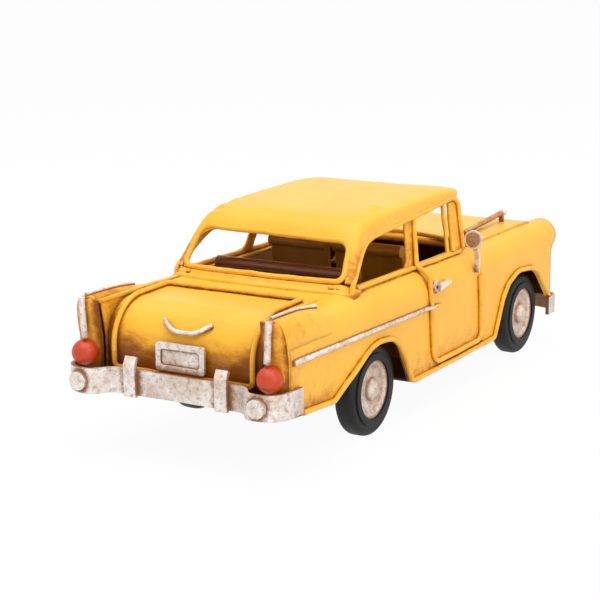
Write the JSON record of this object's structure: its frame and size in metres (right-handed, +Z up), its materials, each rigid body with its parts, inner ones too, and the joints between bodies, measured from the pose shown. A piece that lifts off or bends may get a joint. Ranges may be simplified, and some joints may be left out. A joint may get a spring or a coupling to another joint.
{
  "type": "toy taxi",
  "caption": "Handmade tinplate toy taxi: two-door sedan with tail fins, soldered bead wires, domed red tail lamps and two free-turning axles.",
  "frame": {"origin": "on the ground under the middle of the car's length and width", "axes": "+X towards the front of the car, +Y to the car's left, +Z up"},
  "size_m": [0.166, 0.0632, 0.0534],
  "materials": {
    "yellow_paint": "satin, aged with brown grime along the beads",
    "silver_paint": "dull silver paint, pitted",
    "red_lamp": "soft sheen",
    "tyre_rubber": "matte",
    "brown_seat": "dark, part gloss",
    "floor_paint": "dull",
    "axle_steel": "drawn"
  },
  "bodies": {
    "body": {"floor_pan": "floor_paint", "side_panel_left": "yellow_paint", "side_panel_right": "yellow_paint", "front_fender_left": "yellow_paint", "front_fender_right": "yellow_paint", "headlamp_hood_left": "yellow_paint", "headlamp_hood_right": "yellow_paint", "headlamp_left": "silver_paint", "headlamp_right": "silver_paint", "deck_panel": "yellow_paint", "lid_bead": "yellow_paint", "rear_ledge": "yellow_paint", "tail_cap_left": "yellow_paint", "tail_cap_right": "yellow_paint", "fin_strip_left": "yellow_paint", "fin_strip_right": "yellow_paint", "fin_trim_left": "silver_paint", "fin_trim_right": "silver_paint", "tail_lamp_left": "red_lamp", "tail_lamp_right": "red_lamp", "lift_handle": "silver_paint", "licence_plate": "silver_paint", "rear_bumper": "silver_paint", "rear_overriders": "silver_paint", "hood_panel": "yellow_paint", "hood_spears": "silver_paint", "cowl": "yellow_paint", "grille": "silver_paint", "front_panel": "yellow_paint", "front_bumper": "silver_paint", "roof_panel": "yellow_paint", "rear_window_frame": "yellow_paint", "windscreen_frame": "yellow_paint", "roof_rail_left": "yellow_paint", "roof_rail_right": "yellow_paint", "door_bead_left": "yellow_paint", "door_bead_right": "yellow_paint", "vent_posts": "yellow_paint", "edge_bead_left": "yellow_paint", "edge_bead_right": "yellow_paint", "side_trim_left": "silver_paint", "side_trim_right": "silver_paint", "door_handle_left": "silver_paint", "door_handle_right": "silver_paint", "mirror_left": "silver_paint", "mirror_right": "silver_paint", "front_seat_left": "brown_seat", "front_seat_right": "brown_seat", "rear_seat": "brown_seat", "steering_wheel": "brown_seat"},
    "rear_wheels": {"rear_axle": "axle_steel", "rear_disc_left": "silver_paint", "rear_disc_right": "silver_paint", "rear_tyre_left": "tyre_rubber", "rear_tyre_right": "tyre_rubber"},
    "front_wheels": {"front_axle": "axle_steel", "front_disc_left": "silver_paint", "front_disc_right": "silver_paint", "front_tyre_left": "tyre_rubber", "front_tyre_right": "tyre_rubber"}
  },
  "joints": [
    {"name": "rear_axle_spin", "type": "hinge", "parent": "body", "child": "rear_wheels", "pos_m": [-0.0326, 0, 0.0115], "axis": [0, 1, 0], "continuous": true},
    {"name": "front_axle_spin", "type": "hinge", "parent": "body", "child": "front_wheels", "pos_m": [0.0574, 0, 0.0115], "axis": [0, 1, 0], "continuous": true}
  ]
}
